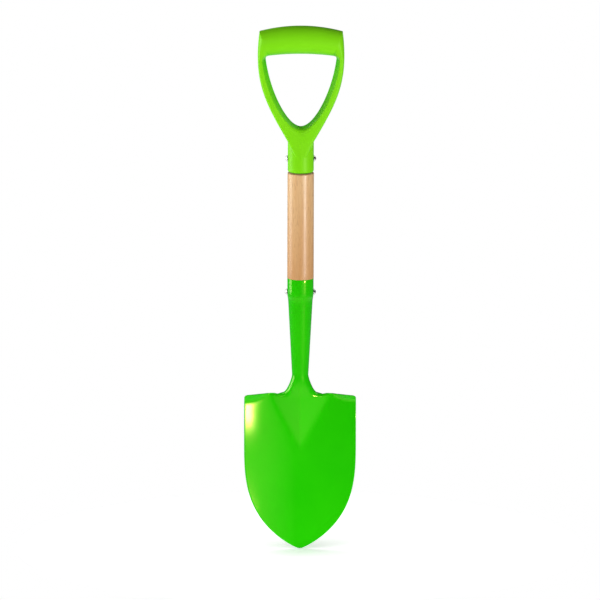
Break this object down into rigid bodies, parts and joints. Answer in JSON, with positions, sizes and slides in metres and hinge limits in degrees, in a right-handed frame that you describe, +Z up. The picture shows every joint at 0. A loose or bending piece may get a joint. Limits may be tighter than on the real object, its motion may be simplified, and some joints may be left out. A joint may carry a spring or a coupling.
{
  "type": "sand shovel",
  "caption": "Short sand shovel with a dished round-point steel blade, rolled tapered socket, turned wooden shaft and moulded D-grip, riveted together.",
  "frame": {"origin": "middle of the underside of the grip's bar, where the shovel hangs", "axes": "+Z up along the shaft to the grip, -Y towards the hollow front of the blade, +X to the right seen from the front"},
  "size_m": [0.1188, 0.03, 0.5647],
  "materials": {
    "blade_paint": "gloss green powder coat",
    "shaft_wood": "sanded beech with a thin clear lacquer",
    "grip_plastic": "moulded, satin gloss yellow-green",
    "rivet_steel": "bright plated"
  },
  "bodies": {
    "root": {"blade": "blade_paint", "shaft": "shaft_wood", "grip": "grip_plastic", "upper_rivet": "rivet_steel", "lower_rivet": "rivet_steel"}
  },
  "joints": []
}
